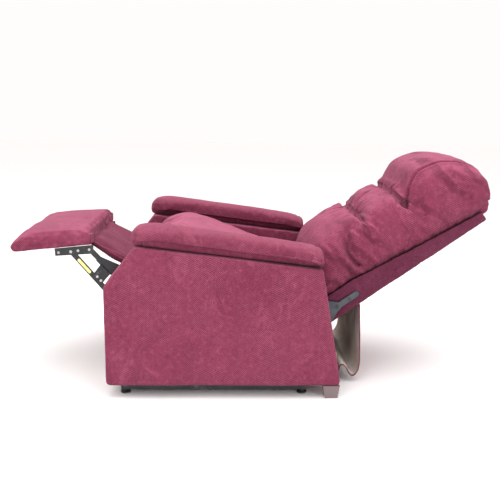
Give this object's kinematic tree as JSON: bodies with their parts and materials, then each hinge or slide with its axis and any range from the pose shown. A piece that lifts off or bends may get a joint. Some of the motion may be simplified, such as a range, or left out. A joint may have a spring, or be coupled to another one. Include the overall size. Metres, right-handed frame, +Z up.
{
  "type": "patient recliner chair",
  "caption": "Upholstered power lift recliner with padded arms, three-bolster back, hinged leg rest and lifting floor frame, stored reclined.",
  "frame": {"origin": "on the floor under the middle of the overall outline, reclined with the leg rest out", "axes": "+Z up, -Y the way the chair faces, +X the occupant's left"},
  "size_m": [0.81, 1.6579, 0.8079],
  "materials": {
    "upholstery": "napped microfibre",
    "lining": "plain woven lining",
    "black_steel": "satin black enamel",
    "bracket_steel": "satin slate enamel",
    "zinc_steel": "zinc plated",
    "black_plastic": "moulded",
    "foot_plastic": "matt taupe",
    "wood": "plain plywood",
    "label": "blank pale sticker"
  },
  "bodies": {
    "floor_base": {"floor_side_tubes": "black_steel", "floor_cross_tubes": "black_steel", "levelling_glides": "black_plastic", "floor_pivot_brackets": "black_steel", "floor_pivot_pins": "zinc_steel", "power_supply": "black_plastic"},
    "lift_arms": {"lift_arms": "black_steel"},
    "lift_front_links": {"lift_front_links": "black_steel"},
    "chassis": {"side_panel_left": "upholstery", "side_panel_right": "upholstery", "arm_pad_left": "upholstery", "arm_pad_right": "upholstery", "chassis_side_rails": "black_steel", "chassis_brackets": "black_steel", "chassis_pivot_pins": "zinc_steel", "chassis_cross_tubes": "black_steel", "front_stretcher": "wood", "rear_stretcher": "wood", "panel_bolts": "zinc_steel", "pivot_plates": "bracket_steel", "rear_foot_blocks": "foot_plastic", "rear_flap_strip": "black_plastic", "rear_flap": "upholstery"},
    "seat": {"seat_side_plates": "black_steel", "seat_cross_bars": "black_steel", "seat_springs": "zinc_steel", "seat_pivot_pins": "zinc_steel", "seat_brackets": "black_steel", "seat_cushion": "upholstery"},
    "back": {"back_board": "upholstery", "back_side_bands": "upholstery", "back_frame_rails": "wood", "back_lower_bolster": "upholstery", "back_middle_bolster": "upholstery", "head_pillow": "upholstery", "back_brackets": "bracket_steel", "bracket_bolts": "zinc_steel"},
    "leg_drive": {"leg_drive_links": "black_steel", "leg_drive_pins": "zinc_steel"},
    "leg_lower": {"leg_lower_links": "black_steel", "leg_lower_pins": "zinc_steel", "leg_link_labels": "label", "leg_gusset_plates": "black_steel"},
    "leg_upper": {"leg_upper_links": "black_steel"},
    "leg_control": {"leg_control_links": "black_steel"},
    "footrest": {"footrest_rails": "black_steel", "footrest_pins": "zinc_steel", "footrest_board": "wood", "footrest_pad": "upholstery"},
    "front_flap": {"front_flap_rod": "black_steel", "front_flap": "upholstery"},
    "lift_actuator": {"lift_actuator_housing": "black_plastic", "lift_actuator_motor": "black_steel"},
    "lift_rod": {"lift_actuator_rod": "zinc_steel"},
    "recline_actuator": {"recline_actuator_housing": "black_plastic", "recline_actuator_motor": "black_steel"},
    "recline_rod": {"recline_actuator_rod": "zinc_steel"},
    "leg_actuator": {"leg_actuator_housing": "black_plastic", "leg_actuator_motor": "black_steel"},
    "leg_rod": {"leg_actuator_rod": "zinc_steel"}
  },
  "joints": [
    {"name": "lift", "type": "hinge", "parent": "floor_base", "child": "lift_arms", "pos_m": [0, -0.343, 0.075], "axis": [1, 0, 0], "range_deg": [0, 44]},
    {"name": "chassis_tilt", "type": "hinge", "parent": "lift_arms", "child": "chassis", "pos_m": [0, 0.067, 0.092], "axis": [1, 0, 0], "range_deg": [-20, 0]},
    {"name": "front_link_swing", "type": "hinge", "parent": "floor_base", "child": "lift_front_links", "pos_m": [0, -0.412, 0.065], "axis": [1, 0, 0], "range_deg": [0, 54.43]},
    {"name": "recline", "type": "hinge", "parent": "chassis", "child": "back", "pos_m": [0, 0.229, 0.3], "axis": [1, 0, 0], "range_deg": [0, 42]},
    {"name": "seat_tilt", "type": "hinge", "parent": "chassis", "child": "seat", "pos_m": [0, 0.127, 0.262], "axis": [1, 0, 0], "range_deg": [0, 8]},
    {"name": "leg_rest", "type": "hinge", "parent": "seat", "child": "leg_drive", "pos_m": [0, -0.313, 0.34], "axis": [1, 0, 0], "range_deg": [0, 67.07]},
    {"name": "lower_link_swing", "type": "hinge", "parent": "leg_drive", "child": "leg_lower", "pos_m": [0, -0.479, 0.305], "axis": [1, 0, 0], "range_deg": [-88.38, 0]},
    {"name": "footrest_tilt", "type": "hinge", "parent": "leg_lower", "child": "footrest", "pos_m": [0, -0.622, 0.473], "axis": [1, 0, 0], "range_deg": [0, 97.41]},
    {"name": "upper_link_swing", "type": "hinge", "parent": "leg_drive", "child": "leg_upper", "pos_m": [0, -0.4113, 0.3184], "axis": [1, 0, 0], "range_deg": [-88.97, 0]},
    {"name": "control_link_swing", "type": "hinge", "parent": "seat", "child": "leg_control", "pos_m": [0, -0.2876, 0.3257], "axis": [1, 0, 0], "range_deg": [0, 66.24]},
    {"name": "front_flap_swing", "type": "hinge", "parent": "seat", "child": "front_flap", "pos_m": [0, -0.398, 0.4], "axis": [1, 0, 0], "range_deg": [0, 113.7]},
    {"name": "lift_actuator_swing", "type": "hinge", "parent": "floor_base", "child": "lift_actuator", "pos_m": [0, 0.147, 0.06], "axis": [1, 0, 0], "range_deg": [0, 0.9347]},
    {"name": "lift_rod_slide", "type": "slide", "parent": "lift_actuator", "child": "lift_rod", "axis": [0, -0.9497, 0.3133], "range_m": [0, 0.10466]},
    {"name": "recline_actuator_swing", "type": "hinge", "parent": "chassis", "child": "recline_actuator", "pos_m": [0, -0.133, 0.215], "axis": [1, 0, 0], "range_deg": [0, 6.19]},
    {"name": "recline_rod_slide", "type": "slide", "parent": "recline_actuator", "child": "recline_rod", "axis": [0, 0.9932, -0.1166], "range_m": [0, 0.07818]},
    {"name": "leg_actuator_swing", "type": "hinge", "parent": "seat", "child": "leg_actuator", "pos_m": [0, -0.013, 0.27], "axis": [1, 0, 0], "range_deg": [0, 5.98]},
    {"name": "leg_rod_slide", "type": "slide", "parent": "leg_actuator", "child": "leg_rod", "axis": [0, -0.9877, 0.1565], "range_m": [-0.04458, 0]}
  ],
  "couplings": [
    {"joint": "chassis_tilt", "follows": "lift", "ratio": -0.45454},
    {"joint": "front_link_swing", "follows": "lift", "ratio": 1.237},
    {"joint": "lift_actuator_swing", "follows": "lift", "ratio": 0.021243},
    {"joint": "lift_rod_slide", "follows": "lift", "m_per_rad": 0.13629},
    {"joint": "seat_tilt", "follows": "recline", "ratio": 0.19048},
    {"joint": "recline_actuator_swing", "follows": "recline", "ratio": 0.14738},
    {"joint": "recline_rod_slide", "follows": "recline", "m_per_rad": 0.10665},
    {"joint": "lower_link_swing", "follows": "leg_rest", "ratio": -1.3177},
    {"joint": "footrest_tilt", "follows": "leg_rest", "ratio": 1.4523},
    {"joint": "upper_link_swing", "follows": "leg_rest", "ratio": -1.3266},
    {"joint": "control_link_swing", "follows": "leg_rest", "ratio": 0.9876},
    {"joint": "front_flap_swing", "follows": "leg_rest", "ratio": 1.6952},
    {"joint": "leg_actuator_swing", "follows": "leg_rest", "ratio": 0.089161},
    {"joint": "leg_rod_slide", "follows": "leg_rest", "m_per_rad": -0.038079}
  ]
}
